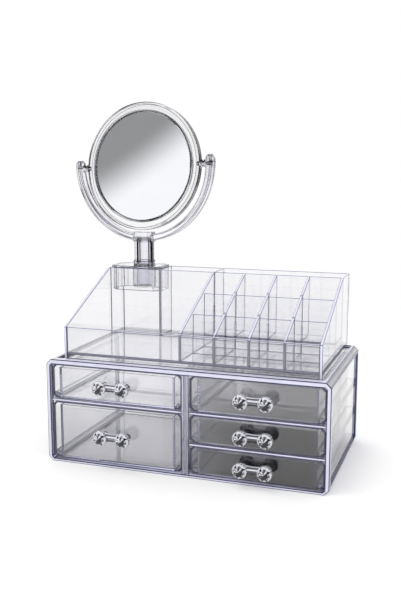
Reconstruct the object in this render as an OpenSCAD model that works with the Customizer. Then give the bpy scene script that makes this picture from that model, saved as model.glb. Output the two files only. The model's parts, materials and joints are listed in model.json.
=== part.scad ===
// Clear make-up organiser: a drawer cabinet, a divided tray that lifts off it,
// and a double-sided round mirror whose post plugs into the tray.
// The front is -Y, up is +Z, and the origin is the centre of the cabinet's footprint.

/* [Cabinet] */
// Outside width of the cabinet
cabinet_w = 300; // [250:1:380]
// Outside depth of the cabinet
cabinet_d = 170; // [140:1:220]
// Chamfer along the cabinet's long edges
corner_c = 5; // [3:0.5:6]
// Thickness of the base plate
base_t = 3; // [2:0.5:4]
// Thickness of the frame along each side
side_t = 4.5; // [4:0.5:6]
// Depth of the pocket that thins each side panel
pocket_t = 2; // [0.5:0.25:2.5]
// Width of the frame left around each side pocket
pocket_rim = 7; // [6:1:15]
// Thickness of the top plate under the tray
top_t = 2.5; // [2:0.5:4]
// Height of the lip around the tray
lip_h = 2.5; // [1.5:0.5:4]
// Width of the lip at the front and sides
lip_w = 9; // [6:1:14]
// Width of the lip at the rear
rear_lip_w = 2.5; // [2:0.5:4]
// Thickness of the back panel
back_t = 2.5; // [2:0.5:4]
// Distance of the centre spine to the right of the middle
spine_x = 4; // [-10:1:10]
// Width of the hollow centre spine
spine_w = 7; // [6:0.5:12]
// Wall of the centre spine
spine_wall = 2.2; // [1.5:0.1:2.5]
// Thickness of each shelf
shelf_t = 2.5; // [2:0.5:4]
// Distance of the shelf edges behind the front frame
shelf_set = 2.5; // [0.5:0.5:3]
// Width of the runner rib on each side of a bay
runner_w = 8; // [5:0.5:12]
// Height of the runner ribs
runner_h = 5.5; // [3:0.5:8]

/* [Drawers] */
// Clear height of each of the two small right-hand bays
small_bay_h = 30; // [26:1:45]
// Clear height of the top bays
top_bay_h = 37.5; // [26:0.5:50]
// Distance of the drawer fronts behind the front frame
front_set = 3; // [1:0.5:5]
// Thickness of a drawer front
front_t = 2.5; // [2:0.5:4]
// Gap between a drawer front and its bay
front_gap = 0.5; // [0.3:0.1:1]
// Chamfer on the corners of a drawer front
front_c = 3.5; // [1:0.5:6]
// Thickness of the stiffening rib round the back of a drawer front
front_rib_t = 1.3; // [1:0.1:2]
// Depth of that rib
front_rib_d = 3; // [1:0.5:5]
// Wall of a drawer box
box_wall = 2; // [1.5:0.5:3]
// Floor of a drawer box
box_floor_t = 2; // [1.5:0.5:3]
// Side gap between a drawer box and its runner ribs
side_gap = 0.5; // [0.3:0.1:1]
// Running gap under a drawer box
lift_gap = 0.3; // [0.2:0.05:0.5]
// Gap between the rim of a drawer box and the plate above it
rim_gap = 4; // [2:0.5:8]
// Gap behind a drawer box
rear_gap = 2.5; // [1:0.5:5]

/* [Knobs] */
// Distance between the two feet of a bow knob
knob_span = 25; // [20:1:32]
// Distance that a knob stands out from its drawer front
knob_out = 17.5; // [14:0.5:24]
// Largest diameter of each jewel end
jewel_d = 15; // [12:0.5:16]
// Number of facets round each jewel end
jewel_facets = 8; // [6:1:12]
// Diameter of the flat table on each jewel
table_d = 8; // [5:0.5:9]
// Diameter of each foot
foot_d = 8.5; // [7:0.5:10]
// Diameter of the bow's waist
waist_d = 7; // [4:0.5:8]
// Diameter of a knob screw's shank
screw_d = 2.5; // [2:0.5:3]
// Diameter of a knob screw's head
screw_head_d = 5.5; // [4.5:0.5:7]

/* [Tray] */
// Distance of the tray behind the front of the cabinet
tray_set = 17.5; // [12:0.5:25]
// Gap between the tray and the lip at each side
tray_side_gap = 3.5; // [1:0.5:6]
// Gap between the tray and the rear lip
tray_rear_gap = 0.5; // [0.3:0.1:1]
// Thickness of the tray's sheets
wall_t = 3; // [2:0.5:3]
// Height of the foot rim under the tray's floor
foot_h = 4; // [2:0.5:6]
// Height of the tray at the front
front_h = 34; // [28:1:50]
// Height of the tray at the rear
rear_h = 84; // [70:1:110]
// Clear depth of the rear row of compartments
rear_row_d = 33.8; // [30:0.2:44]
// Distance between the lipstick columns
column_pitch = 36; // [28:1:36]
// Thickness of the two lipstick row walls
row_t = 2; // [1.5:0.5:2.5]
// Drop of a row wall's top below the sloping dividers
row_drop = 2; // [1:0.5:4]
// Height of the raised floor of the rear lipstick row above the tray's floor
riser_h = 13.5; // [8:0.5:20]

/* [Mirror post] */
// Clear width of the socket that takes the mirror's plug
socket_w = 60; // [45:1:64]
// Offset of the stem from the plug's middle, to the right
stem_shift = 5; // [0:0.5:8]
// Gap round the plug in its socket
plug_gap = 0.3; // [0.2:0.05:0.5]
// Depth of the plug below the tray's top edge
plug_h = 26; // [18:1:40]
// Chamfer on the plug's upright corners
plug_c = 6; // [3:0.5:8]
// Wall of the plug
plug_wall = 2.2; // [1.5:0.1:3]
// Thickness of the plug's flange
flange_t = 2.4; // [2:0.1:4]
// Overhang of the flange on the tray's walls
flange_over = 1.3; // [0.8:0.1:2]
// Outside diameter of the stem
stem_d = 24; // [16:1:26]
// Bore of the stem
stem_bore = 12; // [8:1:14]
// Wall of the boss, collar and hub that hold the stem
holder_wall = 1.1; // [0.8:0.1:3]
// Height of the collar at the foot of the stem
collar_h = 5.5; // [4:0.5:10]
// Length of stem that shows between the collar and the hub
stem_show = 22; // [12:0.1:60]
// Depth of the stem in the hub
stem_in_hub = 6; // [4:0.5:7]
// Height of the hub under the yoke
hub_h = 11.6; // [10:0.2:16]

/* [Mirror] */
// Outside radius of the mirror's ring
ring_r = 73; // [55:1:90]
// Thickness of the mirror's ring
ring_t = 11; // [9:0.5:14]
// Radius of glass that shows
view_r = 61.4; // [45:0.2:80]
// Thickness of each mirror glass
glass_t = 2; // [1.5:0.5:2]
// Thickness of the backing between the glasses
backing_t = 1.5; // [1:0.5:2]
// Gap between the turning ring and the hub
ring_clear = 1.8; // [1.5:0.1:5]
// Radial thickness of the yoke
yoke_t = 7.8; // [6:0.2:12]
// Depth of the yoke from front to back
yoke_d = 14; // [8:0.5:16]
// Diameter of the two pivot pins
pin_d = 5; // [4:0.5:6]
// Turn of the yoke on its stem, as set
swivel = -6.4; // [-90:0.2:90]
// Lean of the yoke to one side of its hub, as moulded
yoke_lean = 2.5; // [-5:0.5:5]
// Backward tilt of the mirror, as set
tilt = 6.1; // [-60:0.1:60]

/* [Hidden] */
$fn = 64;

clear_plastic = [0.80, 0.84, 0.93, 0.45];
clear_front = [0.72, 0.75, 0.84, 0.40];
jewel_clear = [0.93, 0.95, 0.99, 0.75];
bright_steel = [0.74, 0.75, 0.77];
silvered_glass = [0.86, 0.88, 0.90];
grey_card = [0.45, 0.44, 0.43];

// Overshoot of a cut past the face it opens
cut = 1;
// Clearance of a round piece fixed in its hole, and of one that turns in it
fixed_fit = 0.03;
turning_fit = 0.05;

// Cabinet levels and faces
front_y = -cabinet_d / 2;
back_y = cabinet_d / 2;
inner_x = cabinet_w / 2 - side_t;
inner_back_y = back_y - back_t;
lower_shelf_z = base_t + small_bay_h;
upper_shelf_z = lower_shelf_z + shelf_t + small_bay_h;
top_plate_z = upper_shelf_z + shelf_t + top_bay_h;
seat_z = top_plate_z + top_t;
cabinet_h = seat_z + lip_h;
bay_c = 2;
spine_left = spine_x - spine_w / 2;
spine_right = spine_x + spine_w / 2;
runner_y = front_y + front_set + front_t + front_rib_d + 1;

// Each bay is [left, right, bottom, top]
upper_left = [-inner_x, spine_left, upper_shelf_z + shelf_t, top_plate_z];
lower_left = [-inner_x, spine_left, base_t, upper_shelf_z];
upper_right = [spine_right, inner_x, upper_shelf_z + shelf_t, top_plate_z];
middle_right = [spine_right, inner_x, lower_shelf_z + shelf_t, upper_shelf_z];
lower_right = [spine_right, inner_x, base_t, lower_shelf_z];

// Drawers and knobs
face_y = front_y + front_set;
box_y = face_y + front_t;
knob_foot_h = 3;
jewel_flare_h = 4.2;
jewel_girdle_h = 2.5;
waist_out = knob_foot_h + jewel_flare_h + 0.2;
jewel_ledge = 0.5;
screw_bite = 8;
screw_head_h = 1.6;
screw_clear = 0.25;
screw_slot = 0.8;

// Tray levels and faces
tray_w = cabinet_w - 2 * (lip_w + tray_side_gap);
tray_front = front_y + tray_set;
tray_back = back_y - rear_lip_w - tray_rear_gap;
tray_inner_x = tray_w / 2 - wall_t;
tray_inner_front = tray_front + wall_t;
tray_inner_back = tray_back - wall_t;
floor_z = seat_z + foot_h;
deck_z = floor_z + wall_t;
front_top_z = seat_z + front_h;
rear_top_z = seat_z + rear_h;
rear_row_y = tray_inner_back - rear_row_d;
slope_end_y = rear_row_y - wall_t;
columns = 4;
rows = 3;
main_x = tray_inner_x + wall_t / 2 - columns * column_pitch;
row_depth = (slope_end_y - tray_inner_front - (rows - 1) * row_t) / rows;
front_row_y = tray_inner_front + row_depth;
middle_row_y = front_row_y + row_t + row_depth;
raised_z = deck_z + riser_h;

// Mirror post
post_x = -tray_inner_x + socket_w / 2;
stem_x = post_x + stem_shift;
post_y = tray_inner_back - rear_row_d / 2;
boss_d = stem_d + 2 * holder_wall;
boss_floor_t = 1.5;
plug_top_z = rear_top_z + flange_t;
stem_foot_z = rear_top_z - plug_h + 5;
hub_bottom_z = plug_top_z + collar_h + stem_show;
stem_top_z = hub_bottom_z + stem_in_hub;
pivot_z = hub_bottom_z + hub_h + ring_clear + ring_r;

// Mirror, measured from the pivot axis
yoke_rise = 3;
yoke_r = ring_r + 8.2;
yoke_c = 1.5;
ring_edge = 2.7;
ring_lip = 2.2;
ring_bevel_h = 1.8;
glass_r = view_r + 2.4;
glass_gap = 0.2;
pin_inner = ring_r - 4;
pin_outer = yoke_r + yoke_t * 0.6;
spool_d = 10;
spool_waist_d = 7;
spool_flange_t = 1.5;
spool_gap = 0.7;

// Height of the sloping top edge at a distance y from the origin
function slope_z(y) = front_top_z
    + (rear_top_z - front_top_z) * (min(max(y, tray_front), slope_end_y) - tray_front)
    / (slope_end_y - tray_front);
// Level at which a row wall and a divider are slotted into each other
function row_top_z(y) = slope_z(y) - row_drop;
function lap_z(y) = (deck_z + row_top_z(y)) / 2;

// A box given by its lowest and highest corners
module block(low, high) {
    translate(low) cube(high - low);
}

// A flat shape drawn in X and Z, made solid from y0 to y1
module along_y(y0, y1) {
    translate([0, y1, 0]) rotate([90, 0, 0]) linear_extrude(y1 - y0) children();
}

// A flat shape drawn in Y and Z, made solid from x0 to x1
module along_x(x0, x1) {
    translate([x0, 0, 0]) rotate([90, 0, 90]) linear_extrude(x1 - x0) children();
}

// A rectangle with its corners cut off
module cut_corner(x0, x1, z0, z1, c) {
    polygon([
        [x0 + c, z0], [x1 - c, z0], [x1, z0 + c], [x1, z1 - c],
        [x1 - c, z1], [x0 + c, z1], [x0, z1 - c], [x0, z0 + c]
    ]);
}

// Runner ribs standing on the floor of a bay, one against each side
module runners(bay) {
    for (x = [bay[0], bay[1] - runner_w])
        block([x, runner_y, bay[2]], [x + runner_w, inner_back_y, bay[2] + runner_h]);
}

module bay_opening() {
    cut_corner(-inner_x, inner_x, base_t, top_plate_z, bay_c);
}

// Moulded sleeve with chamfered edges, a tray recess on top and thinned side panels
module cabinet_shell() color(clear_plastic) {
    difference() {
        along_y(front_y, back_y)
            cut_corner(-cabinet_w / 2, cabinet_w / 2, 0, cabinet_h, corner_c);
        along_y(front_y - cut, back_y + cut) bay_opening();
        block([-cabinet_w / 2 + lip_w, front_y + lip_w, seat_z],
              [cabinet_w / 2 - lip_w, back_y - rear_lip_w, cabinet_h + cut]);
        for (side = [-1, 1])
            translate([side * (cabinet_w / 2), 0, 0])
                block([-pocket_t, front_y + pocket_rim, pocket_rim],
                      [pocket_t, back_y - pocket_rim, cabinet_h - pocket_rim]);
    }
    runners(lower_left);
    runners(lower_right);
}

module cabinet_back() color(clear_plastic)
    along_y(inner_back_y, back_y) bay_opening();

// Hollow upright between the left and right drawers
module centre_spine() color(clear_plastic) difference() {
    block([spine_left, front_y + cut, base_t], [spine_right, inner_back_y, top_plate_z]);
    block([spine_left + spine_wall, front_y + cut + spine_wall, base_t - cut],
          [spine_right - spine_wall, inner_back_y - spine_wall, top_plate_z + cut]);
}

// A shelf is the floor of the bay above it, with that bay's runner ribs
module shelf(bay) color(clear_plastic) {
    block([bay[0], front_y + shelf_set, bay[2] - shelf_t], [bay[1], inner_back_y, bay[2]]);
    runners(bay);
}

module left_shelf() shelf(upper_left);
module right_upper_shelf() shelf(upper_right);
module right_lower_shelf() shelf(middle_right);

// Centres of a knob's two feet in a bay
function knob_x(bay) = (bay[0] + bay[1]) / 2;
function knob_z(bay) = (bay[2] + bay[3]) / 2;

// Places its children at both feet of a knob, at y, with their Z pointing out of the front
module at_feet(bay, y) {
    for (side = [-1, 1])
        translate([knob_x(bay) + side * knob_span / 2, y, knob_z(bay)])
            rotate([90, 0, 0]) children();
}

module screw_holes(bay) {
    at_feet(bay, box_y + box_wall + cut)
        cylinder(d = screw_d + 2 * screw_clear, h = front_t + box_wall + 2 * cut);
}

// Open box that runs between the ribs of its bay
module drawer_box(bay) color(clear_plastic) {
    x0 = bay[0] + runner_w + side_gap;
    x1 = bay[1] - runner_w - side_gap;
    y1 = inner_back_y - rear_gap;
    z0 = bay[2] + lift_gap;
    difference() {
        block([x0, box_y, z0], [x1, y1, bay[3] - rim_gap]);
        block([x0 + box_wall, box_y + box_wall, z0 + box_floor_t],
              [x1 - box_wall, y1 - box_wall, bay[3]]);
        screw_holes(bay);
    }
}

// Front panel with cut corners and a rib round its back, bonded to the box
module drawer_front(bay) color(clear_front) {
    x0 = bay[0] + front_gap;
    x1 = bay[1] - front_gap;
    z0 = bay[2] + front_gap;
    z1 = bay[3] - front_gap;
    difference() {
        along_y(face_y, box_y) cut_corner(x0, x1, z0, z1, front_c);
        screw_holes(bay);
    }
    difference() {
        along_y(box_y, box_y + front_rib_d) cut_corner(x0, x1, z0, z1, front_c);
        along_y(box_y - cut, box_y + front_rib_d + cut)
            cut_corner(x0 + front_rib_t, x1 - front_rib_t, z0 + front_rib_t, z1 - front_rib_t, front_c);
        block([bay[0] + runner_w, box_y, bay[2]],
              [bay[1] - runner_w, box_y + front_rib_d, bay[2] + box_floor_t + front_gap]);
    }
}

// One cut-jewel end of a knob, from its foot at z = 0
module jewel_end() {
    flare_z = knob_foot_h;
    girdle_z = flare_z + jewel_flare_h;
    crown_z = girdle_z + jewel_girdle_h;
    cylinder(d = foot_d, h = knob_foot_h + cut);
    rotate([0, 0, 180 / jewel_facets]) {
        translate([0, 0, flare_z])
            cylinder(d1 = foot_d + 2 * jewel_ledge, d2 = jewel_d, h = jewel_flare_h,
                     $fn = jewel_facets);
        translate([0, 0, girdle_z]) cylinder(d = jewel_d, h = jewel_girdle_h, $fn = jewel_facets);
        translate([0, 0, crown_z])
            cylinder(d1 = jewel_d, d2 = table_d, h = knob_out - crown_z, $fn = jewel_facets);
    }
}

// Bow-shaped pull: two jewel ends joined by a waisted bar
module knob(bay) color(jewel_clear) difference() {
    steps = 8;
    end_r = jewel_d * 0.32;
    union() {
        at_feet(bay, face_y) jewel_end();
        translate([knob_x(bay), face_y - waist_out, knob_z(bay)]) rotate([0, 90, 0])
            rotate_extrude($fn = 32) polygon(concat(
                [[0, -knob_span / 2], [0, knob_span / 2]],
                [for (i = [steps : -1 : 0]) let (u = 2 * i / steps - 1)
                    [waist_d / 2 + (end_r - waist_d / 2) * u * u, u * knob_span / 2]]));
    }
    at_feet(bay, face_y + cut) cylinder(d = screw_d + 2 * fixed_fit, h = screw_bite + 2 * cut);
}

// The two screws that hold a knob from inside its drawer box
module screws(bay) color(bright_steel) at_feet(bay, box_y + box_wall) {
    cylinder(d = screw_d, h = front_t + box_wall + screw_bite);
    difference() {
        translate([0, 0, -screw_head_h])
            cylinder(d1 = screw_head_d * 0.7, d2 = screw_head_d, h = screw_head_h);
        block([-screw_head_d, -screw_slot / 2, -screw_head_h - cut],
              [screw_head_d, screw_slot / 2, -screw_head_h + screw_slot]);
    }
}

module upper_left_box() drawer_box(upper_left);
module upper_left_front() drawer_front(upper_left);
module upper_left_knob() knob(upper_left);
module upper_left_screws() screws(upper_left);
module lower_left_box() drawer_box(lower_left);
module lower_left_front() drawer_front(lower_left);
module lower_left_knob() knob(lower_left);
module lower_left_screws() screws(lower_left);
module upper_right_box() drawer_box(upper_right);
module upper_right_front() drawer_front(upper_right);
module upper_right_knob() knob(upper_right);
module upper_right_screws() screws(upper_right);
module middle_right_box() drawer_box(middle_right);
module middle_right_front() drawer_front(middle_right);
module middle_right_knob() knob(middle_right);
module middle_right_screws() screws(middle_right);
module lower_right_box() drawer_box(lower_right);
module lower_right_front() drawer_front(lower_right);
module lower_right_knob() knob(lower_right);
module lower_right_screws() screws(lower_right);

module tray_floor() color(clear_plastic)
    block([-tray_inner_x, tray_inner_front, floor_z], [tray_inner_x, tray_inner_back, deck_z]);

module tray_front_wall() color(clear_plastic)
    block([-tray_inner_x, tray_front, seat_z], [tray_inner_x, tray_inner_front, front_top_z]);

module tray_back_wall() color(clear_plastic)
    block([-tray_inner_x, tray_inner_back, seat_z], [tray_inner_x, tray_back, rear_top_z]);

// Outline of a tray side, sloping up to the rear row
module side_outline() {
    polygon([
        [tray_front, seat_z], [tray_back, seat_z], [tray_back, rear_top_z],
        [slope_end_y, rear_top_z], [tray_front, front_top_z]
    ]);
}

module tray_left_wall() color(clear_plastic)
    along_x(-tray_w / 2, -tray_inner_x) side_outline();

module tray_right_wall() color(clear_plastic)
    along_x(tray_inner_x, tray_w / 2) side_outline();

// Full-height wall in front of the rear row, slotted from below over the main divider
module rear_row_wall() color(clear_plastic) difference() {
    block([-tray_inner_x, slope_end_y, deck_z], [tray_inner_x, rear_row_y, rear_top_z]);
    block([main_x - wall_t / 2, slope_end_y - cut, deck_z - cut],
          [main_x + wall_t / 2, rear_row_y + cut, (deck_z + rear_top_z) / 2]);
}

module main_divider() color(clear_plastic) along_x(main_x - wall_t / 2, main_x + wall_t / 2)
    difference() {
        polygon([
            [tray_inner_front, deck_z], [tray_inner_back, deck_z], [tray_inner_back, rear_top_z],
            [slope_end_y, rear_top_z], [tray_inner_front, slope_z(tray_inner_front)]
        ]);
        translate([slope_end_y, (deck_z + rear_top_z) / 2]) square([wall_t, rear_h]);
    }

// Divider between two lipstick columns, slotted from above for the row walls
module column_divider(column) color(clear_plastic) {
    x = main_x + column * column_pitch;
    step_y = middle_row_y + row_t;
    along_x(x - wall_t / 2, x + wall_t / 2) difference() {
        polygon([
            [tray_inner_front, deck_z], [step_y, deck_z], [step_y, raised_z],
            [slope_end_y, raised_z], [slope_end_y, rear_top_z],
            [tray_inner_front, slope_z(tray_inner_front)]
        ]);
        for (y = [front_row_y, middle_row_y]) translate([y, lap_z(y)]) square([row_t, rear_h]);
    }
}

module left_column_divider() column_divider(1);
module middle_column_divider() column_divider(2);
module right_column_divider() column_divider(3);

// Cross wall of the lipstick rows, slotted from below over the column dividers
module row_wall(y) color(clear_plastic) difference() {
    block([main_x + wall_t / 2, y, deck_z], [tray_inner_x, y + row_t, row_top_z(y)]);
    for (column = [1 : columns - 1]) {
        x = main_x + column * column_pitch;
        block([x - wall_t / 2, y - cut, deck_z - cut], [x + wall_t / 2, y + row_t + cut, lap_z(y)]);
    }
}

module front_row_wall() row_wall(front_row_y);
module middle_row_wall() row_wall(middle_row_y);

module raised_row_floor() color(clear_plastic)
    block([main_x + wall_t / 2, middle_row_y + row_t, raised_z - row_t],
          [tray_inner_x, slope_end_y, raised_z]);

module socket_partition() color(clear_plastic)
    block([-tray_inner_x + socket_w, rear_row_y, deck_z],
          [-tray_inner_x + socket_w + wall_t, tray_inner_back, rear_top_z]);

// Outline of the plug, grown by a margin
module plug_outline(margin) {
    half_w = socket_w / 2 - plug_gap + margin;
    half_d = rear_row_d / 2 - plug_gap + margin;
    cut_corner(-half_w, half_w, -half_d, half_d, plug_c);
}

// Hollow plug with a flange on the tray's top edges and a boss for the stem
module mirror_plug() color(clear_plastic) translate([post_x, post_y, 0]) {
    difference() {
        union() {
            translate([0, 0, rear_top_z]) linear_extrude(flange_t)
                plug_outline(plug_gap + flange_over);
            difference() {
                translate([0, 0, rear_top_z - plug_h]) linear_extrude(plug_h) plug_outline(0);
                translate([0, 0, rear_top_z - plug_h - cut]) linear_extrude(plug_h + cut)
                    plug_outline(-plug_wall);
            }
            translate([stem_shift, 0, stem_foot_z - boss_floor_t])
                cylinder(d = boss_d, h = rear_top_z - stem_foot_z + boss_floor_t);
        }
        translate([stem_shift, 0, stem_foot_z])
            cylinder(d = stem_d + 2 * fixed_fit, h = plug_top_z - stem_foot_z + cut);
    }
}

// Collar that steadies the stem where it leaves the plug
module stem_collar() color(clear_plastic) translate([stem_x, post_y, plug_top_z])
    rotate_extrude() polygon([
        [stem_d / 2 + fixed_fit, 0], [boss_d / 2, 0], [boss_d / 2, collar_h - 0.6],
        [boss_d / 2 - 0.6, collar_h], [stem_d / 2 + fixed_fit, collar_h]
    ]);

module mirror_stem() color(clear_plastic) translate([stem_x, post_y, stem_foot_z])
    difference() {
        cylinder(d = stem_d, h = stem_top_z - stem_foot_z);
        translate([0, 0, -cut]) cylinder(d = stem_bore, h = stem_top_z - stem_foot_z + 2 * cut);
    }

// Frame of the yoke: origin on the pivot axis, turned with the yoke
module yoke_frame() {
    translate([stem_x, post_y, pivot_z]) rotate([0, 0, swivel]) children();
}

// Frame of the arms: the yoke's, leaning to one side
module arm_frame() {
    rotate([0, -yoke_lean, 0]) children();
}

// Frame of the mirror: the arms', tilted with the ring
module mirror_frame() {
    yoke_frame() arm_frame() rotate([-tilt, 0, 0]) children();
}

// Rounded tip of an arm, a half disc about the pins' direction
module arm_tip() rotate([0, 90, 0])
    rotate_extrude(start = 90, angle = 180, $fn = 64) polygon([
        [0, -yoke_t / 2], [yoke_d / 2 - yoke_c, -yoke_t / 2], [yoke_d / 2, yoke_c - yoke_t / 2],
        [yoke_d / 2, yoke_t / 2 - yoke_c], [yoke_d / 2 - yoke_c, yoke_t / 2], [0, yoke_t / 2]
    ]);

// Half-round yoke with rounded arm tips and a hub that turns on the stem
module yoke() color(clear_plastic) yoke_frame() {
    hub_z = hub_bottom_z - pivot_z;
    mid_r = yoke_r + yoke_t / 2;
    difference() {
        union() {
            arm_frame() translate([0, 0, yoke_rise]) {
                rotate([90, 0, 0]) rotate_extrude(start = 180, angle = 180, $fn = 96)
                    cut_corner(yoke_r, yoke_r + yoke_t, -yoke_d / 2, yoke_d / 2, yoke_c);
                for (side = [-1, 1])
                    translate([side * mid_r, 0, -0.02]) arm_tip();
            }
            translate([0, 0, hub_z]) cylinder(d = boss_d, h = hub_h);
        }
        translate([0, 0, hub_z - cut - yoke_t])
            cylinder(d = stem_d + 2 * turning_fit, h = stem_in_hub + cut + yoke_t);
        for (side = [-1, 1])
            arm_frame() rotate([0, side * 90, 0]) translate([0, 0, yoke_r - yoke_t])
                cylinder(d = pin_d + 2 * turning_fit, h = pin_outer - yoke_r + yoke_t + turning_fit);
    }
}

// Spool-shaped pin, fixed in the ring and free to turn in the yoke's arm
module pivot_pin(side) color(bright_steel) mirror_frame() rotate([0, side * 90, 0]) {
    spool_start = ring_r + 0.3;
    spool_end = yoke_r - spool_gap;
    translate([0, 0, pin_inner]) cylinder(d = pin_d, h = pin_outer - pin_inner);
    rotate_extrude() polygon([
        [0, spool_start], [spool_d / 2, spool_start], [spool_d / 2, spool_start + spool_flange_t],
        [spool_waist_d / 2, spool_start + 2 * spool_flange_t],
        [spool_waist_d / 2, spool_end - 2 * spool_flange_t],
        [spool_d / 2, spool_end - spool_flange_t], [spool_d / 2, spool_end], [0, spool_end]
    ]);
}

module left_pivot_pin() pivot_pin(-1);
module right_pivot_pin() pivot_pin(1);

// Front or back half of the ring: face is 1 or -1
module ring_half(face) color(clear_plastic) mirror_frame() difference() {
    glass_face = backing_t / 2 + glass_t;
    rotate([face * 90, 0, 0]) rotate_extrude($fn = 128) polygon([
        [glass_r + glass_gap, 0], [ring_r, 0], [ring_r, ring_t / 2 - ring_bevel_h],
        [ring_r - ring_edge, ring_t / 2], [view_r + ring_lip, ring_t / 2],
        [view_r, ring_t / 2 - ring_bevel_h], [view_r, glass_face], [glass_r + glass_gap, glass_face]
    ]);
    for (side = [-1, 1])
        rotate([0, side * 90, 0]) translate([0, 0, pin_inner])
            cylinder(d = pin_d + 2 * fixed_fit, h = ring_r);
}

module ring_front() ring_half(1);
module ring_back() ring_half(-1);

module glass(face) color(silvered_glass) mirror_frame()
    rotate([face * 90, 0, 0]) translate([0, 0, backing_t / 2]) cylinder(r = glass_r, h = glass_t, $fn = 128);

module glass_front() glass(1);
module glass_back() glass(-1);

module mirror_backing() color(grey_card) mirror_frame()
    rotate([90, 0, 0]) translate([0, 0, -backing_t / 2])
        cylinder(r = glass_r - 0.5, h = backing_t, $fn = 128);

cabinet_shell();
cabinet_back();
centre_spine();
left_shelf();
right_upper_shelf();
right_lower_shelf();
upper_left_box();
upper_left_front();
upper_left_knob();
upper_left_screws();
lower_left_box();
lower_left_front();
lower_left_knob();
lower_left_screws();
upper_right_box();
upper_right_front();
upper_right_knob();
upper_right_screws();
middle_right_box();
middle_right_front();
middle_right_knob();
middle_right_screws();
lower_right_box();
lower_right_front();
lower_right_knob();
lower_right_screws();
tray_floor();
tray_front_wall();
tray_back_wall();
tray_left_wall();
tray_right_wall();
rear_row_wall();
main_divider();
left_column_divider();
middle_column_divider();
right_column_divider();
front_row_wall();
middle_row_wall();
raised_row_floor();
socket_partition();
mirror_plug();
stem_collar();
mirror_stem();
yoke();
left_pivot_pin();
right_pivot_pin();
ring_front();
ring_back();
glass_front();
glass_back();
mirror_backing();
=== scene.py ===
import json
import math

import bmesh
import bpy
import numpy as np
from mathutils import Matrix, Vector


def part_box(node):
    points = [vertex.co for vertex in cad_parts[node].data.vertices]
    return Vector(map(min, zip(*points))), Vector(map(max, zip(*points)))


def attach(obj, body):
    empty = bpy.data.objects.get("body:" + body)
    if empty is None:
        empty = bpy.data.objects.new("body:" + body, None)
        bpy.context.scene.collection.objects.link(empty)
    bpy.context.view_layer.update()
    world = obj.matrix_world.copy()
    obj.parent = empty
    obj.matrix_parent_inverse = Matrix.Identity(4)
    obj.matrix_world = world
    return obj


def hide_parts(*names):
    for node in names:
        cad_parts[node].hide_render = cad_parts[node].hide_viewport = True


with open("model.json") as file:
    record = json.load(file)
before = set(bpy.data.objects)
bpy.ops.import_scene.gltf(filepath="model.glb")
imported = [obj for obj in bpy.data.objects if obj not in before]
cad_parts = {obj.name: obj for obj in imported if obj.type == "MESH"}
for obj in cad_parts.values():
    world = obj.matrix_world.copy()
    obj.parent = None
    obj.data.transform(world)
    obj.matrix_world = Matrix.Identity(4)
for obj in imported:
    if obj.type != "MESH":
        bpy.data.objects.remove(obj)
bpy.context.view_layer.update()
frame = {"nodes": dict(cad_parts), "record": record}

scene = bpy.context.scene


# Cabinet: a sleeve moulded in clear polystyrene, with a back panel, a hollow centre spine and three
# shelves bonded into it. Polished moulds leave glassy faces, a little flow ripple, and edges that
# look lavender because light runs a long way inside the wall before it leaves.
def linear(code):
    """An sRGB hex colour as linear RGBA: each channel c is ((c + 0.055) / 1.055) ** 2.4, or c / 12.92
    near black."""
    c = np.array([int(code[i:i + 2], 16) / 255 for i in (1, 3, 5)])
    return (*np.where(c <= 0.04045, c / 12.92, ((c + 0.055) / 1.055) ** 2.4).tolist(), 1.0)


def add(tree, kind, settings=None, links=None):
    """Adds one node with its settings, and links outputs of other nodes to its inputs. A kind with no
    Geometry or Group in its name is a shader node. A Mix node's colours are its inputs 6 and 7, its
    numbers are its inputs 2 and 3, and its mixed colour is its output 2."""
    node = tree.nodes.new(kind if kind.startswith(("GeometryNode", "NodeGroup")) else "ShaderNode" + kind)
    for key, value in (settings or {}).items():
        if isinstance(key, str) and key not in node.inputs:
            setattr(node, key, value)
        else:
            node.inputs[key].default_value = value
    for key, output in (links or {}).items():
        tree.links.new(output, node.inputs[key])
    return node


def blank_material(name):
    """A material with an empty node tree, and the tree."""
    material = bpy.data.materials.new(name)
    material.use_nodes = True
    material.node_tree.nodes.clear()
    return material, material.node_tree


face_widths = bpy.data.node_groups.new("face widths", "GeometryNodeTree")
for way in ("INPUT", "OUTPUT"):
    face_widths.interface.new_socket("Geometry", in_out=way, socket_type="NodeSocketGeometry")
tree = face_widths
per_edge = {"domain": "EDGE", "data_type": "FLOAT"}
flat_below, flat_extra_mm, twice_in_mm = math.radians(0.45), 100.0, 2000.0
ends = add(tree, "GeometryNodeInputMeshEdgeVertices")
span = add(tree, "VectorMath", {"operation": "DISTANCE"},
           {0: ends.outputs["Position 1"], 1: ends.outputs["Position 2"]})
length = add(tree, "GeometryNodeFieldOnDomain", per_edge, {0: span.outputs["Value"]})
angle = add(tree, "GeometryNodeInputMeshEdgeAngle")
folded = add(tree, "Math", {"operation": "GREATER_THAN", 1: flat_below}, {0: angle.outputs["Unsigned Angle"]})
folded = add(tree, "Math", {"operation": "MULTIPLY"}, {0: folded.outputs[0], 1: span.outputs["Value"]})
folded = add(tree, "GeometryNodeFieldOnDomain", per_edge, {0: folded.outputs[0]})
folded = add(tree, "Math", {"operation": "DIVIDE"}, {0: folded.outputs[0], 1: length.outputs[0]})
lies_flat = add(tree, "Math", {"operation": "LESS_THAN", 1: 0.5}, {0: folded.outputs[0]})
extra = add(tree, "Math", {"operation": "MULTIPLY", 1: flat_extra_mm}, {0: lies_flat.outputs[0]})
corners = add(tree, "GeometryNodeInputMeshFaceNeighbors")
area = add(tree, "GeometryNodeInputMeshFaceArea")
perimeter = add(tree, "Math", {"operation": "MULTIPLY"},
                {0: length.outputs[0], 1: corners.outputs["Vertex Count"]})
width = add(tree, "Math", {"operation": "DIVIDE"}, {0: area.outputs[0], 1: perimeter.outputs[0]})
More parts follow.
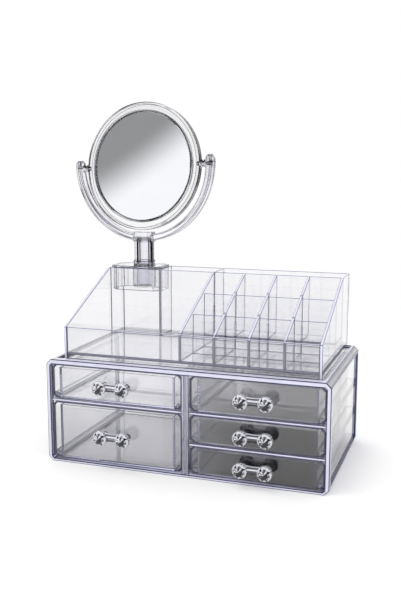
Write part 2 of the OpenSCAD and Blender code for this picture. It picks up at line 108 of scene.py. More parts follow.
width = add(tree, "Math", {"operation": "MULTIPLY_ADD", 1: twice_in_mm},
            {0: width.outputs[0], 2: extra.outputs[0]})
came = add(tree, "NodeGroupInput")
kept = add(tree, "GeometryNodeStoreNamedAttribute",
           {"domain": "FACE", "data_type": "FLOAT", "Name": "width_mm"},
           {"Geometry": came.outputs[0], "Value": width.outputs[0]})
add(tree, "NodeGroupOutput", links={0: kept.outputs[0]})


def measured(piece):
    """Stores each finished face's width in mm as the attribute width_mm: twice its area over its perimeter.
    A face that lies flat with its neighbours along half its outline or more counts as 100 mm wider."""
    piece.modifiers.new("widths", "NODES").node_group = face_widths


def clear_plastic(name, ior, tint, edge_tint, edge_depth_mm, ripple_mm, ripple_um, haze, shade,
                  painted_line="#2a2a60", dull=0.0):
    """A clear moulded plastic. Noise in Object coordinates with a period of ripple_mm and a height of
    ripple_um bends the surface, and noise a tenth as long sets the haze. The inside absorbs light to
    edge_tint over edge_depth_mm, or nothing if that is 0. Faces under 4 to 6 mm wide, a wall's end, are
    tinted by edge_tint too and scatter the last argument's share of the light as a dull surface does, a
    painted highlight. The roundings of edges, under 0.5 mm, take the line colour: a painted dark line, or
    a painted light line where that colour is pale. A lamp's light passes through a wall tinted by shade."""
    material, tree = blank_material(name)
    place = add(tree, "TexCoord").outputs["Object"]
    ripple = add(tree, "TexNoise", {"Scale": 1000 / ripple_mm, "Detail": 2.0}, {"Vector": place})
    bump = add(tree, "Bump", {"Strength": 1.0, "Distance": ripple_um * 1e-6},
               {"Height": ripple.outputs["Fac"]})
    grain = add(tree, "TexNoise", {"Scale": 10000 / ripple_mm, "Detail": 3.0}, {"Vector": place})
    rough = add(tree, "MapRange", {"From Min": 0.4, "From Max": 0.7, "To Min": haze / 4, "To Max": haze},
                {"Value": grain.outputs["Fac"]})
    width = add(tree, "Attribute", {"attribute_name": "width_mm"}).outputs["Fac"]
    fading = {"To Min": 1.0, "To Max": 0.0}
    narrow = add(tree, "MapRange", {"From Min": 4.0, "From Max": 6.0, **fading}, {"Value": width})
    painted_line_mask = add(tree, "MapRange", {"From Min": 0.5, "From Max": 0.58, **fading}, {"Value": width})
    tone = add(tree, "Mix", {"data_type": "RGBA", 6: linear(tint), 7: linear(edge_tint)},
               {0: narrow.outputs[0]})
    tone.label = "tint"
    # Painted lines: the roundings of edges take the line colour, dark ones as painted shade.
    tone = add(tree, "Mix", {"data_type": "RGBA", 7: linear(painted_line)},
               {0: painted_line_mask.outputs[0], 6: tone.outputs[2]})
    body = add(tree, "BsdfPrincipled", {"IOR": ior, "Transmission Weight": 1.0},
               {"Base Color": tone.outputs[2], "Roughness": rough.outputs[0], "Normal": bump.outputs[0]})
    # Painted highlight: a wall's narrow end faces scatter part of the light like dull white.
    if dull:
        clarity = add(tree, "MapRange", {"To Min": 1.0, "To Max": 1.0 - dull}, {"Value": narrow.outputs[0]})
        tree.links.new(clarity.outputs[0], body.inputs["Transmission Weight"])
    passed = add(tree, "BsdfTransparent", {"Color": linear(shade)})
    path = add(tree, "LightPath")
    surface = add(tree, "MixShader",
                  links={0: path.outputs["Is Shadow Ray"], 1: body.outputs[0], 2: passed.outputs[0]})
    end = add(tree, "OutputMaterial", links={"Surface": surface.outputs[0]})
    if edge_depth_mm:
        inside = add(tree, "VolumeAbsorption", {"Color": linear(edge_tint), "Density": 1000 / edge_depth_mm})
        tree.links.new(inside.outputs[0], end.inputs["Volume"])
    return material


def polish(node, finish, edge_mm, draw_mm=0.05):
    """Gives a CAD node its finish. Its corners are merged and its flat faces made whole, every point is
    drawn in by draw_mm along its normal so that bonded faces don't coincide, and edges get a radius of
    edge_mm."""
    piece = frame["nodes"][node]
    piece.data.materials.clear()
    piece.data.materials.append(finish)
    piece.modifiers.new("merge", "WELD").merge_threshold = 2e-6
    flat = piece.modifiers.new("flat", "DECIMATE")
    flat.decimate_type, flat.angle_limit = "DISSOLVE", math.radians(1)
    inset = piece.modifiers.new("inset", "DISPLACE")
    inset.mid_level, inset.strength = 0.0, -draw_mm * 1e-3
    if edge_mm:
        edge = piece.modifiers.new("edge", "BEVEL")
        edge.width, edge.segments = edge_mm * 1e-3, 3 if edge_mm > 0.6 else 2
        edge.limit_method, edge.angle_limit = "ANGLE", math.radians(25)
        edge.harden_normals, edge.use_clamp_overlap = True, False
    measured(piece)


# Polystyrene bends light more than acrylic; its edges take darker painted lines than the acrylic's. The
# sleeve's walls end in bright lavender bands, a painted highlight, between dark roundings, painted lines.
polystyrene_ior, acrylic_ior = 1.59, 1.49
moulded_polystyrene = clear_plastic(
    "clear polystyrene, polished mould", polystyrene_ior, tint="#fefefe", edge_tint="#efefff",
    edge_depth_mm=110, ripple_mm=40, ripple_um=6, haze=0.01, shade="#f4f4f6", dull=0.72)
polish("cabinet_shell", moulded_polystyrene, 0.8)
for node in ("cabinet_back", "centre_spine"):
    polish(node, moulded_polystyrene, 0.4)
for node in ("left_shelf", "right_upper_shelf", "right_lower_shelf"):
    polish(node, moulded_polystyrene, 0.5)


# Drawers: each is a thin open box moulded in clear polystyrene and bonded to a front panel that has
# cut corners and a stiffening rib round its back. Two plated pan-head screws go through both into the knob.
drawer_polystyrene = clear_plastic(
    "clear polystyrene, drawer, with painted shade", polystyrene_ior, tint="#fcfcfd", edge_tint="#e4e4fb",
    edge_depth_mm=110, ripple_mm=30, ripple_um=6, haze=0.01, shade="#f2f2f4", dull=0.5)
# Painted shade: the upright walls of the right and lower drawers are tinted dark grey, darker towards the
# right and the bottom, and the other walls three tenths as much.
smooth = {"interpolation_type": "SMOOTHSTEP"}
tree = drawer_polystyrene.node_tree
place = tree.nodes["Texture Coordinate"]
axis = add(tree, "SeparateXYZ", links={0: place.outputs["Object"]})
right = add(tree, "MapRange", {**smooth, "From Min": -0.03, "From Max": 0.07}, {"Value": axis.outputs[0]})
low = add(tree, "MapRange", {**smooth, "From Min": 0.125, "From Max": 0.045}, {"Value": axis.outputs[2]})
painted_shade = add(tree, "Math", {"operation": "MULTIPLY"}, {0: right.outputs[0], 1: low.outputs[0]})
out_way = add(tree, "SeparateXYZ", links={0: place.outputs["Normal"]})
out_way = add(tree, "Math", {"operation": "ABSOLUTE"}, {0: out_way.outputs[1]})
upright = add(tree, "MapRange", {"To Min": 0.3, "To Max": 1.0}, {"Value": out_way.outputs[0]})
painted_shade = add(tree, "Math", {"operation": "MULTIPLY"}, {0: painted_shade.outputs[0], 1: upright.outputs[0]})
tone = add(tree, "Mix", {"data_type": "RGBA", 6: linear("#fafafb"), 7: linear("#3a3a3c")},
           {0: painted_shade.outputs[0]})
clear = next(node for node in tree.nodes if node.label == "tint")
tree.links.new(tone.outputs[2], clear.inputs[6])
# The front panels are as clear as the cabinet, with a painted highlight, a bright band, where the cut
# corners and the rib end.
front_polystyrene = clear_plastic(
    "clear polystyrene, drawer front", polystyrene_ior, tint="#fcfcfd", edge_tint="#f2f2ff",
    edge_depth_mm=110, ripple_mm=30, ripple_um=6, haze=0.01, shade="#f4f4f6", dull=0.7)
drawers = ("upper_left", "lower_left", "upper_right", "middle_right", "lower_right")
for drawer in drawers:
    polish(drawer + "_box", drawer_polystyrene, 0.4, 0.02)
    polish(drawer + "_front", front_polystyrene, 0.5, 0.02)


def plated_steel(name, tone, rough):
    """Plated steel: a metal of the given tone whose roughness varies with noise of about half a millimetre.
    """
    material, tree = blank_material(name)
    place = add(tree, "TexCoord")
    grain = add(tree, "TexNoise", {"Scale": 2000.0, "Detail": 2.0}, {"Vector": place.outputs["Object"]})
    wear = add(tree, "MapRange", {"To Min": rough * 0.6, "To Max": rough * 1.5},
               {"Value": grain.outputs["Fac"]})
    body = add(tree, "BsdfPrincipled", {"Base Color": linear(tone), "Metallic": 1.0},
               {"Roughness": wear.outputs["Result"]})
    add(tree, "OutputMaterial", links={"Surface": body.outputs[0]})
    return material


# The screws are coloured near black, a painted shade, so that they show through the clear knobs and
# fronts as small dark cores.
screw_painted_shade = plated_steel("steel screw, near black as painted shade", "#2a2a2c", 0.25)
for drawer in drawers:
    polish(drawer + "_screws", screw_painted_shade, 0)


# Knobs: bow-shaped pulls moulded in clear crystal polystyrene. Each end is cut like a jewel, with a
# round foot, a flared underside, a girdle, two rows of crown facets and a shallow faceted table, and
# a thin waist joins the ends.
def shape(name, points, faces, finish):
    """A mesh object at the origin, from points in metres and faces as rows of point numbers."""
    mesh = bpy.data.meshes.new(name)
    mesh.from_pydata(np.asarray(points, float).reshape(-1, 3).tolist(), [],
                     [list(map(int, f)) for f in faces])
    mesh.materials.append(finish)
    mesh.validate()
    piece = bpy.data.objects.new(name, mesh)
    scene.collection.objects.link(piece)
    return piece


def mesh_out(mesh):
    """Merges a closed mesh's doubles, turns its faces outwards and shades it smooth."""
    work = bmesh.new()
    work.from_mesh(mesh)
    bmesh.ops.remove_doubles(work, verts=work.verts, dist=1e-7)
    bmesh.ops.recalc_face_normals(work, faces=work.faces)
    work.to_mesh(mesh)
    work.free()
    mesh.polygons.foreach_set("use_smooth", np.ones(len(mesh.polygons), bool))


def grid_faces(rows, columns, close_rows=False):
    """Quads between neighbouring rows of a grid whose columns close on themselves."""
    r = np.arange(rows if close_rows else rows - 1)[:, None]
    c = np.arange(columns)[None, :]
    n = lambda i, j: (i % rows) * columns + j % columns
    return np.stack([n(r, c), n(r, c + 1), n(r + 1, c + 1), n(r + 1, c)], -1).reshape(-1, 4)


def turned(profile, columns):
    """A profile of (radius, height) pairs turned about Z: x = r cos a, y = r sin a, z = h."""
    a = np.arange(columns) * 2 * np.pi / columns
    r, h = np.asarray(profile, float).T
    return np.stack([r[:, None] * np.cos(a), r[:, None] * np.sin(a), h[:, None] + 0 * a], -1)


def united(first, others, operation="UNION"):
    """The first piece with the others joined to it or cut out of it, as one mesh; the others are removed."""
    for other in others:
        step = first.modifiers.new("join", "BOOLEAN")
        step.operation, step.solver, step.object = operation, "EXACT", other
    seen = first.evaluated_get(bpy.context.evaluated_depsgraph_get())
    mesh = bpy.data.meshes.new_from_object(seen)
    old = first.data
    first.modifiers.clear()
    first.data = mesh
    bpy.data.meshes.remove(old)
    for other in others:
        bpy.data.objects.remove(other)
    return first


cut_polystyrene = clear_plastic(
    "clear crystal polystyrene, faceted", polystyrene_ior, tint="#fefefe", edge_tint="#fdfdfe",
    edge_depth_mm=0, ripple_mm=30, ripple_um=2, haze=0.005, shade="#f2f2f4", painted_line="#b4b4bc", dull=0.1)
# Painted highlight and painted shade: some facets are tinted pale and scatter light like dull white, and
# some are tinted near black, which gives the knobs their white and black points.
painted_glint_facet = clear_plastic(
    "clear crystal polystyrene, facet with painted highlight", polystyrene_ior, tint="#fafaff",
    edge_tint="#f6f6ff", edge_depth_mm=0, ripple_mm=30, ripple_um=2, haze=0.01, shade="#f2f2f4",
    painted_line="#f6f6ff", dull=0.7)
painted_shade_facet = clear_plastic(
    "clear crystal polystyrene, facet with painted shade", polystyrene_ior, tint="#1e1e24",
    edge_tint="#1e1e24", edge_depth_mm=0, ripple_mm=30, ripple_um=2, haze=0.01, shade="#f2f2f4",
    painted_line="#1e1e24", dull=0.2)
plain, painted_glint, dark = 0, 1, 2
jewel_profile = np.array([[4.25, 0.03], [4.3, 6.8], [5.9, 8.4], [7.5, 10.0], [7.5, 13.6], [6.4, 15.5],
                          [5.3, 16.7], [4.6, 17.2]])
jewel_cut = np.array([0, 0, 0.03, 0, 0, 0.06, 0.08, 0])[:, None]
rows, sides, table_top, jewel_x = len(jewel_profile), 16, 17.45, 12.5
jewel = turned(jewel_profile, sides)
odd = (np.arange(sides)[None, :] + np.arange(rows)[:, None]) % 2
jewel[..., :2] *= (1 - jewel_cut * odd)[..., None]
quads, last_row = grid_faces(rows, sides), (rows - 1) * sides
jewel_faces = np.concatenate([quads[:, [0, 1, 2]], quads[:, [0, 2, 3]]]).tolist()
jewel_faces += [list(range(sides - 1, -1, -1))]
jewel_faces += [[last_row + i, last_row + (i + 1) % sides, rows * sides] for i in range(sides)]
girdle, lower_crown, upper_crown, table_edge = 3, 4, 5, 6
# The lit facets carry a painted highlight and the dark facets painted shade, row by row.
facets = np.full((2, rows - 1, sides), plain)
facets[0, girdle], facets[1, girdle, 1::4] = painted_glint, dark
facets[:, lower_crown] = painted_glint
facets[1, lower_crown, 1::4] = dark
facets[0, upper_crown, ::2], facets[:, upper_crown, 1::4] = painted_glint, dark
facets[0, table_edge], facets[1, table_edge, ::2] = dark, painted_glint
table_facets = [dark, dark, painted_glint, dark, plain, painted_glint, plain, painted_glint, dark, plain] + 6 * [dark]
facets = np.concatenate([facets.ravel(), [plain], table_facets]).astype(np.int32)
jewels = []
for side in (-1, 1):
    end = np.concatenate([jewel.reshape(-1, 3), [[0, 0, table_top]]])
    end = np.stack([end[:, 0] + side * jewel_x, -end[:, 2], end[:, 1]], -1)
    jewels.append(shape("jewel", end * 1e-3, jewel_faces, cut_polystyrene))
bar_rows, bar_sides, bar_y = 25, 48, -7.4
u = np.linspace(-1, 1, bar_rows)
bar = turned(np.stack([4.0 + 1.7 * u ** 2, jewel_x * u], -1), bar_sides)
bar = np.stack([bar[..., 2], bar[..., 0] + bar_y, bar[..., 1]], -1)
bar_faces = grid_faces(bar_rows, bar_sides).tolist()
bar_faces += [list(range(bar_sides - 1, -1, -1)),
              list(range((bar_rows - 1) * bar_sides, bar_rows * bar_sides))]
bar = shape("waist", bar * 1e-3, bar_faces, cut_polystyrene)
# Painted highlights along the waist's top and upper front, and painted shade along its lower front.
strips = np.full((bar_rows - 1, bar_sides), plain)
strips[:, 8:15], strips[:, 19:22], strips[:, 27:31] = painted_glint, painted_glint, dark
strips = np.concatenate([strips.ravel(), [plain, plain]]).astype(np.int32)
for part, finish in ((jewels[0], facets), (jewels[1], facets), (bar, strips)):
    part.data.materials.append(painted_glint_facet)
    part.data.materials.append(painted_shade_facet)
    part.data.polygons.foreach_set("material_index", finish)
    mesh_out(part.data)
knob_mesh = united(jewels[0], [jewels[1], bar])
knob_mesh.data.polygons.foreach_set("use_smooth", np.zeros(len(knob_mesh.data.polygons), bool))
for drawer in drawers:
    low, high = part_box(drawer + "_knob")
    seat = Vector(((low.x + high.x) / 2, high.y, (low.z + high.z) / 2))
    knob = knob_mesh.copy()
    knob.data = knob_mesh.data.copy()
    knob.name = drawer + "_jewel_knob"
    knob.data.transform(Matrix.Translation(seat))
    measured(knob)
    scene.collection.objects.link(knob)
    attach(knob, drawer + "_drawer")
    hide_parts(drawer + "_knob")
bpy.data.objects.remove(knob_mesh)


# Tray: 2.5 mm cast acrylic sheets, saw-cut, flame-polished and cemented edge to edge. The row walls and
# the column dividers are slotted into each other like an egg crate. Cut edges are tinted pale lavender and
# scatter light like dull white, a painted highlight, between painted dark lines.
sheet_acrylic = clear_plastic(
    "clear cast acrylic sheet", acrylic_ior, tint="#fafafb", edge_tint="#ececfd",
    edge_depth_mm=110, ripple_mm=80, ripple_um=3, haze=0.005, shade="#f4f4f6", painted_line="#46467a", dull=0.8)
for node in ("tray_floor", "tray_front_wall", "tray_back_wall", "tray_left_wall", "tray_right_wall",
             "rear_row_wall", "main_divider", "left_column_divider", "middle_column_divider",
             "right_column_divider", "front_row_wall", "middle_row_wall", "raised_row_floor",
             "socket_partition"):
    polish(node, sheet_acrylic, 0.4)


# Mirror post: a hollow plug moulded in clear polystyrene drops into the tray's corner cell. A thick
# acrylic tube is pressed into its boss, and a collar steadies the tube where it leaves the plug.
stand_clear = {"tint": "#fcfcfc", "edge_tint": "#f6f6fa", "shade": "#f2f2f4"}
post_polystyrene = clear_plastic(
    "clear polystyrene, mirror stand", polystyrene_ior, edge_depth_mm=110, ripple_mm=30, ripple_um=4,
    haze=0.005, painted_line="#20202c", **stand_clear)
polish("mirror_plug", post_polystyrene, 0.6)
low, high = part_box("mirror_stem")
post = Vector(((low.x + high.x) / 2, (low.y + high.y) / 2, 0))


def rounded(profile, radius, steps=4):
    """A closed profile with each corner cut back by radius and filled by a curve: the quadratic
    (1-t)^2 A + 2t(1-t) B + t^2 C between the cut points A and C and the corner B."""
    p = np.asarray(profile, float)
    a, c = np.roll(p, 1, 0) - p, np.roll(p, -1, 0) - p
    la, lc = np.linalg.norm(a, axis=1, keepdims=True), np.linalg.norm(c, axis=1, keepdims=True)
    a, c = p + a / la * np.minimum(radius, la * 0.45), p + c / lc * np.minimum(radius, lc * 0.45)
    t = np.linspace(0, 1, steps)[None, :, None]
    return ((1 - t) ** 2 * a[:, None] + 2 * t * (1 - t) * p[:, None] + t ** 2 * c[:, None]).reshape(-1, 2)


def lathe(name, profile, columns, finish, place, edge_mm):
    """A closed profile of (radius, height) in mm, its corners rounded, turned into a ring about the Z
    axis of place."""
    soft = rounded(profile, edge_mm)
    points = turned(soft, columns)
    piece = shape(name, points * 1e-3, grid_faces(len(soft), columns, True), finish)
    piece.data.transform(place)
    mesh_out(piece.data)
    return piece


def steady(piece):
    """Weights each point's normal by the faces' area, so that flats stay flat beside rounded edges."""
    piece.modifiers.new("normals", "WEIGHTED_NORMAL").keep_sharp = False
    measured(piece)


stem_acrylic = clear_plastic(
    "clear acrylic tube", acrylic_ior, edge_depth_mm=110, ripple_mm=40, ripple_um=3,
    haze=0.002, painted_line="#20202c", **stand_clear)
stem_in, stem_out, stem_low, stem_high = 6, 11.95, low.z * 1e3 + 0.05, high.z * 1e3 - 0.05
stem_columns, collar_columns = 60, 72
plug_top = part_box("stem_collar")[0].z * 1e3
stem = lathe("stem_tube", [[stem_in, stem_low], [stem_out, stem_low], [stem_out, stem_high],
                           [stem_in, stem_high], [stem_in, plug_top + 2]],
             stem_columns, stem_acrylic, Matrix.Translation(post), 0.4)
# The bore's faces turn to a near-black dull surface where the view grazes them, a painted shade that
# leaves a dark stripe down each side of the tube.
bore_painted_shade = clear_plastic(
    "clear acrylic tube, bore with painted shade", acrylic_ior, edge_depth_mm=0, ripple_mm=40, ripple_um=3,
    haze=0.002, painted_line="#20202c", **stand_clear)
tree = bore_painted_shade.node_tree
graze = add(tree, "LayerWeight", {"Blend": 0.5})
graze = add(tree, "MapRange", {**smooth, "From Min": 0.26, "From Max": 0.42},
            {"Value": graze.outputs["Facing"]})
painted_stripe = add(tree, "BsdfDiffuse", {"Color": linear("#0e0e12")})
drawn = add(tree, "MixShader",
            links={0: graze.outputs[0], 1: tree.nodes["Mix Shader"].outputs[0], 2: painted_stripe.outputs[0]})
tree.links.new(drawn.outputs[0], tree.nodes["Material Output"].inputs["Surface"])
stem.data.materials.append(bore_painted_shade)
middle = np.zeros(3 * len(stem.data.polygons))
stem.data.polygons.foreach_get("center", middle)
middle = (middle.reshape(-1, 3) - np.array(post)) * 1e3
seen = (np.hypot(middle[:, 0], middle[:, 1]) < stem_in + 1) & (middle[:, 2] > plug_top)
stem.data.polygons.foreach_set("material_index", seen.astype(np.int32))
low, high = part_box("stem_collar")
collar = lathe("post_collar", [[12.08, 0.03], [13.1, 0.03], [13.1, 4.9], [12.5, 5.45], [12.08, 5.45]],
               collar_columns, post_polystyrene, Matrix.Translation(post + Vector((0, 0, low.z))), 0.25)
for piece, node in ((stem, "mirror_stem"), (collar, "stem_collar")):
    steady(piece)
    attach(piece, "mirror_post")
    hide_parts(node)


# Yoke: a half-round fork moulded in clear polystyrene, with a hub that turns on the stem and round
# arm ends that hold the pivot pins. Its section has chamfered edges from the mould's parting.
joint = next(j for j in frame["record"]["behaviour"]["joints"] if j["name"] == "mirror_tilt")
pivot, axle, tilt = Vector(joint["pos_m"]), Vector(joint["axis"]).normalized(), math.radians(6.1)
swivel, lean = math.atan2(axle.y, axle.x), math.asin(axle.z)
lean_over = Matrix.Rotation(-lean, 4, "Y")
yoke_place = Matrix.Translation(pivot) @ Matrix.Rotation(swivel, 4, "Z")
mirror_place = yoke_place @ lean_over @ Matrix.Rotation(-tilt, 4, "X")
rise, inner, outer, half_depth, chamfer, fork_rows = 3.0, 81.2, 89.0, 7.0, 1.5, 193
yoke_polystyrene = clear_plastic(
    "clear polystyrene, yoke", polystyrene_ior, edge_depth_mm=110, ripple_mm=30, ripple_um=4,
    haze=0.005, painted_line="#7c7c8e", **stand_clear)
section = rounded([[inner, chamfer - half_depth], [inner + chamfer, -half_depth],
                   [outer - chamfer, -half_depth], [outer, chamfer - half_depth],
                   [outer, half_depth - chamfer], [outer - chamfer, half_depth],
                   [inner + chamfer, half_depth], [inner, half_depth - chamfer]], 0.5)
turn = np.linspace(math.pi, 2 * math.pi, fork_rows)[:, None]
band = np.stack([section[:, 0] * np.cos(turn), section[:, 1] + 0 * turn,
                 section[:, 0] * np.sin(turn) + rise], -1)
count = len(section)
ends = [list(range(count)), list(range((fork_rows - 1) * count, fork_rows * count))[::-1]]
fork = shape("fork", band * 1e-3, grid_faces(fork_rows, count).tolist() + ends, yoke_polystyrene)
mesh_out(fork.data)
rim = rounded([[0, -3.895], [5.49, -3.895], [6.99, -2.4], [6.99, 2.4], [5.49, 3.895], [0, 3.895]], 0.5)
sweep = np.concatenate([[0.0], np.linspace(0, math.pi, 17), [math.pi]])[:, None]
foot = np.where(np.arange(len(sweep)) % (len(sweep) - 1) == 0, -1.0, 0.0)[:, None]
tip = np.stack([rim[:, 1] + 0 * sweep, rim[:, 0] * np.cos(sweep), rim[:, 0] * np.sin(sweep) + foot], -1)
tips = []
for sign in (-1, 1):
    points = tip + [sign * (inner + outer) / 2, 0, rise]
    piece = shape("tip", points * 1e-3, grid_faces(len(sweep), len(rim), True).tolist(), yoke_polystyrene)
    mesh_out(piece.data)
    tips.append(piece)
fork = united(fork, tips)
fork.data.transform(lean_over)
low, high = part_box("yoke")
hub_low, hub_columns, hole_columns = (low.z - pivot.z) * 1e3, 96, 48
hub_profile = [[0, hub_low + 0.03], [12.8, hub_low + 0.03], [13.1, hub_low + 0.33], [13.1, hub_low + 11.2],
               [12.7, hub_low + 11.57], [0, hub_low + 11.57]]
bore_profile = [[0, hub_low - 9], [12.05, hub_low - 9], [12.05, hub_low + 6.03], [0, hub_low + 6.03]]
for name, profile, operation in (("hub", hub_profile, "UNION"), ("bore", bore_profile, "DIFFERENCE")):
    piece = shape(name, turned(profile, hub_columns) * 1e-3, grid_faces(len(profile), hub_columns),
                  yoke_polystyrene)
    mesh_out(piece.data)
    fork = united(fork, [piece], operation)
hole_profile = [[0, 72], [2.55, 72], [2.55, 86], [0, 86]]
for sign in (-1, 1):
    hole = turned(hole_profile, hole_columns)
    hole = np.stack([sign * hole[..., 2], hole[..., 0], hole[..., 1]], -1)
    hole = shape("pin_bore", hole * 1e-3, grid_faces(len(hole_profile), hole_columns), yoke_polystyrene)
    mesh_out(hole.data)
    hole.data.transform(lean_over)
    fork = united(fork, [hole], "DIFFERENCE")
fork.name = "yoke_fork"
fork.data.transform(yoke_place)
fork.data.polygons.foreach_set("use_smooth", np.ones(len(fork.data.polygons), bool))
steady(fork)
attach(fork, "yoke")
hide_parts("yoke")


# Mirror ring: two clear polystyrene halves cemented face to face. Each has a bevelled rim and a
# bevelled window edge, and together they clamp the two round glasses and the card between them.
ring_columns = 320
to_front = mirror_place @ Matrix.Rotation(math.radians(90), 4, "X")
to_back = mirror_place @ Matrix.Rotation(math.radians(-90), 4, "X")
half_ring = [[64.0, 0.04], [72.97, 0.04], [72.97, 3.7], [70.3, 5.46], [63.6, 5.46], [61.4, 3.7],
             [61.4, 2.8], [64.0, 2.8]]
for name, node, place in (("ring_front_half", "ring_front", to_front),
                          ("ring_back_half", "ring_back", to_back)):
    ring = lathe(name, half_ring, ring_columns, post_polystyrene, place, 0.25)
    steady(ring)
    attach(ring, "mirror")
    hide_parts(node)


# Mirror glasses: two discs of 2 mm float glass with ground edges, silvered on the back, set back to back
# on a grey card. The silver shows through the clear front, and the blackened edge shows as a dark line.
def silvered(name):
    """Silvered glass: a metal, smooth as the glass in front of it. Noise 25 mm long dims the silver by a
    few per cent, as handling and cleaning do."""
    material, tree = blank_material(name)
    place = add(tree, "TexCoord")
    cloud = add(tree, "TexNoise", {"Scale": 40.0, "Detail": 3.0}, {"Vector": place.outputs["Object"]})
    tone = add(tree, "Mix", {"data_type": "RGBA", 6: linear("#f4f6fa"), 7: linear("#f9fafd")},
               {"Factor": cloud.outputs["Fac"]})
    haze = add(tree, "MapRange", {"To Min": 0.0, "To Max": 0.02}, {"Value": cloud.outputs["Fac"]})
    body = add(tree, "BsdfPrincipled", {"Metallic": 1.0},
               {"Base Color": tone.outputs[2], "Roughness": haze.outputs["Result"]})
    add(tree, "OutputMaterial", links={"Surface": body.outputs[0]})
    return material


def plain_board(name, light, dark, grain_mm, rough):
    """A dull surface: two tones mixed by noise of grain_mm, with a matching bump."""
    material, tree = blank_material(name)
    place = add(tree, "TexCoord")
    fibre = add(tree, "TexNoise", {"Scale": 1000 / grain_mm, "Detail": 4.0},
                {"Vector": place.outputs["Object"]})
    tone = add(tree, "Mix", {"data_type": "RGBA", 6: linear(dark), 7: linear(light)},
               {"Factor": fibre.outputs["Fac"]})
    bump = add(tree, "Bump", {"Strength": 0.3, "Distance": 1e-4}, {"Height": fibre.outputs["Fac"]})
    body = add(tree, "BsdfPrincipled", {"Roughness": rough},
               {"Base Color": tone.outputs[2], "Normal": bump.outputs["Normal"]})
    add(tree, "OutputMaterial", links={"Surface": body.outputs[0]})
    return material


silver = silvered("silvered float glass")
ground_edge = plain_board("ground glass edge, painted black", "#26282c", "#15161a", 1.0, 0.3)
card = plain_board("backing card", "#c9b99c", "#8d8170", 1.5, 0.8)
disc = [[0, 0.78], [63.6, 0.78], [63.75, 0.95], [63.75, 2.3], [62.7, 2.74], [0, 2.74]]
for name, node, place in (("front_mirror_glass", "glass_front", to_front),
                          ("back_mirror_glass", "glass_back", to_back)):
    pane = shape(name, turned(disc, ring_columns) * 1e-3, grid_faces(len(disc), ring_columns), silver)
    pane.data.materials.append(ground_edge)
    row = np.arange(len(pane.data.polygons)) // ring_columns
    pane.data.polygons.foreach_set("material_index", ((row > 0) & (row < 4)).astype(np.int32))
    pane.data.transform(place)
    mesh_out(pane.data)
    steady(pane)
    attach(pane, "mirror")
    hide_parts(node)
polish("mirror_backing", card, 0)


# Pivot pins: turned and plated steel spools. Their inner ends are fixed between the ring halves and
# their outer ends turn in the yoke's arms. Nickel plating gives them a bright, slightly soft gleam.
pin_plating = plated_steel("nickel-plated turned steel pin", "#d8d9dc", 0.12)
pin_profile = [[0, 69], [2.5, 69], [2.5, 73.3], [5, 73.3], [5, 74.8], [3.5, 76.3], [3.5, 77.5], [5, 79],
               [5, 80.5], [2.5, 80.5], [2.5, 85.8], [0, 85.8]]
pin_columns = 64
for name, node, turn in (("left_pin", "left_pivot_pin", -90), ("right_pin", "right_pivot_pin", 90)):
    pin = shape(name, turned(pin_profile, pin_columns) * 1e-3, grid_faces(len(pin_profile), pin_columns),
                pin_plating)
    pin.data.transform(mirror_place @ Matrix.Rotation(math.radians(turn), 4, "Y"))
    mesh_out(pin.data)
    pin.data.polygons.foreach_set("use_smooth", np.zeros(len(pin.data.polygons), bool))
    edge = pin.modifiers.new("edge", "BEVEL")
    edge.width, edge.segments, edge.angle_limit, edge.limit_method = 2e-4, 2, math.radians(30), "ANGLE"
    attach(pin, "mirror")
    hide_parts(node)


# Floor: a white round table top that ends before the studio does, so that glass shows the studio's
# dark sides beyond it. It keeps the object's shadow, and it is lifted to white only for the camera.
floor_radius, floor_sides, floor_z = 0.95, 96, -1e-4
white, tree = blank_material("white table")
path = add(tree, "LightPath")
glow = add(tree, "Math", {"operation": "MULTIPLY", 1: 0.16}, {0: path.outputs["Is Camera Ray"]})
lift = add(tree, "Emission", {"Color": (1, 1, 1, 1)}, {"Strength": glow.outputs[0]})
matte = add(tree, "BsdfDiffuse", {"Color": (0.86, 0.86, 0.86, 1)})
both = add(tree, "AddShader", links={0: matte.outputs[0], 1: lift.outputs[0]})
add(tree, "OutputMaterial", links={"Surface": both.outputs[0]})
turn = np.arange(floor_sides) * 2 * np.pi / floor_sides
rim = np.stack([floor_radius * np.cos(turn), floor_radius * np.sin(turn), 0 * turn + floor_z], -1)
table = shape("table_top", rim, [list(range(floor_sides))], white)


# Studio: white behind the object as the camera sees it, with black cards at the sides and above, as is
# usual for glass on white. Only reflected and refracted light meets the cards; plain surfaces get even
# light. The cards stand 45 degrees apart, but for gaps behind the object and behind the camera.
world = bpy.data.worlds.new("studio")
scene.world = world
world.use_nodes = True
tree = world.node_tree
tree.nodes.clear()
way = add(tree, "TexCoord")
axis = add(tree, "SeparateXYZ", links={0: way.outputs["Generated"]})
bearing = add(tree, "Math", {"operation": "ARCTAN2"}, {0: axis.outputs[0], 1: axis.outputs[1]})
wave = add(tree, "Math", {"operation": "MULTIPLY_ADD", 1: 8.0, 2: math.pi}, {0: bearing.outputs[0]})
wave = add(tree, "Math", {"operation": "COSINE"}, {0: wave.outputs[0]})
cards = add(tree, "MapRange", {**smooth, "From Min": -0.35, "From Max": 0.05}, {"Value": wave.outputs[0]})
behind = add(tree, "Math", {"operation": "ADD", 1: math.radians(3)}, {0: bearing.outputs[0]})
behind = add(tree, "Math", {"operation": "COSINE"}, {0: behind.outputs[0]})
open_back = add(tree, "MapRange", {**smooth, "From Min": 0.87, "From Max": 0.84},
                {"Value": behind.outputs[0]})
cards = add(tree, "Math", {"operation": "MULTIPLY"}, {0: cards.outputs[0], 1: open_back.outputs[0]})
ahead = add(tree, "Math", {"operation": "COSINE"}, {0: bearing.outputs[0]})
open_front = add(tree, "MapRange", {**smooth, "From Min": -0.74, "From Max": -0.66},
                 {"Value": ahead.outputs[0]})
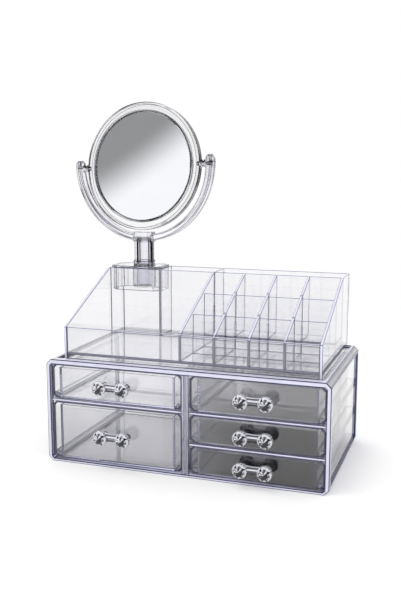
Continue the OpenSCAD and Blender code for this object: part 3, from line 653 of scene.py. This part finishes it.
cards = add(tree, "Math", {"operation": "MULTIPLY"}, {0: cards.outputs[0], 1: open_front.outputs[0]})
ceiling = add(tree, "MapRange", {**smooth, "From Min": 0.42, "From Max": 0.75}, {"Value": axis.outputs[2]})
black = add(tree, "Math", {"operation": "MAXIMUM"}, {0: cards.outputs[0], 1: ceiling.outputs[0]})
level = add(tree, "MapRange", {"To Min": 1.0, "To Max": 0.05}, {"Value": black.outputs[0]})
# A grey card behind the camera, high and to the left, fades into the mirror from its upper left.
card_way = (-0.7198, -0.2620, 0.6428)
near = add(tree, "VectorMath", {"operation": "DOT_PRODUCT", 1: card_way}, {0: way.outputs["Generated"]})
grey = add(tree, "MapRange", {**smooth, "From Min": 0.726, "From Max": 0.774, "To Min": 1.0, "To Max": 0.31},
           {"Value": near.outputs["Value"]})
level = add(tree, "Math", {"operation": "MULTIPLY"}, {0: level.outputs[0], 1: grey.outputs[0]})
path = add(tree, "LightPath")
shiny = add(tree, "Math", {"operation": "MAXIMUM"},
            {0: path.outputs["Is Glossy Ray"], 1: path.outputs["Is Transmission Ray"]})
light = add(tree, "Mix", {"data_type": "FLOAT", 2: 0.75}, {0: shiny.outputs[0], 3: level.outputs[0]})
light = add(tree, "Mix", {"data_type": "FLOAT", 3: 1.0},
            {0: path.outputs["Is Camera Ray"], 2: light.outputs[0]})
sky = add(tree, "Background", {"Color": (1, 1, 1, 1)}, {"Strength": light.outputs[0]})
add(tree, "OutputWorld", links={0: sky.outputs[0]})
for name, energy, spread, aim in (("key", 1.05, 24, (0.22, 0.12, -1)), ("fill", 1.0, 50, (-0.25, 1, -0.3))):
    sun = bpy.data.lights.new(name, "SUN")
    sun.energy, sun.angle = energy, math.radians(spread)
    lamp = bpy.data.objects.new(name, sun)
    lamp.rotation_euler = Vector(aim).to_track_quat("-Z", "Y").to_euler()
    lamp.visible_glossy = lamp.visible_transmission = False
    scene.collection.objects.link(lamp)


# Camera: at the photograph's place, found by fitting corners of the cabinet, the tray and the mirror.
# The focal length came out in pixels of a 601-pixel frame. Light may pass many walls of clear plastic.
focal_px, frame_px, sensor_mm, bounces = 821.98, 601, 36, 48
yaw, pitch = math.radians(19.1), math.radians(-9.5)
lens = bpy.data.cameras.new("camera")
camera = bpy.data.objects.new("camera", lens)
scene.collection.objects.link(camera)
scene.camera = camera
lens.lens = focal_px * sensor_mm / frame_px
forward = Vector((-math.sin(yaw) * math.cos(pitch), math.cos(yaw) * math.cos(pitch), math.sin(pitch)))
camera.location = (0.2764, -0.8227, 0.3122)
camera.rotation_euler = forward.to_track_quat("-Z", "Y").to_euler()
scene.view_settings.view_transform = "Standard"
scene.cycles.max_bounces = scene.cycles.transmission_bounces = scene.cycles.transparent_max_bounces = bounces
scene.cycles.glossy_bounces = bounces // 2
scene.cycles.caustics_refractive = scene.cycles.caustics_reflective = False
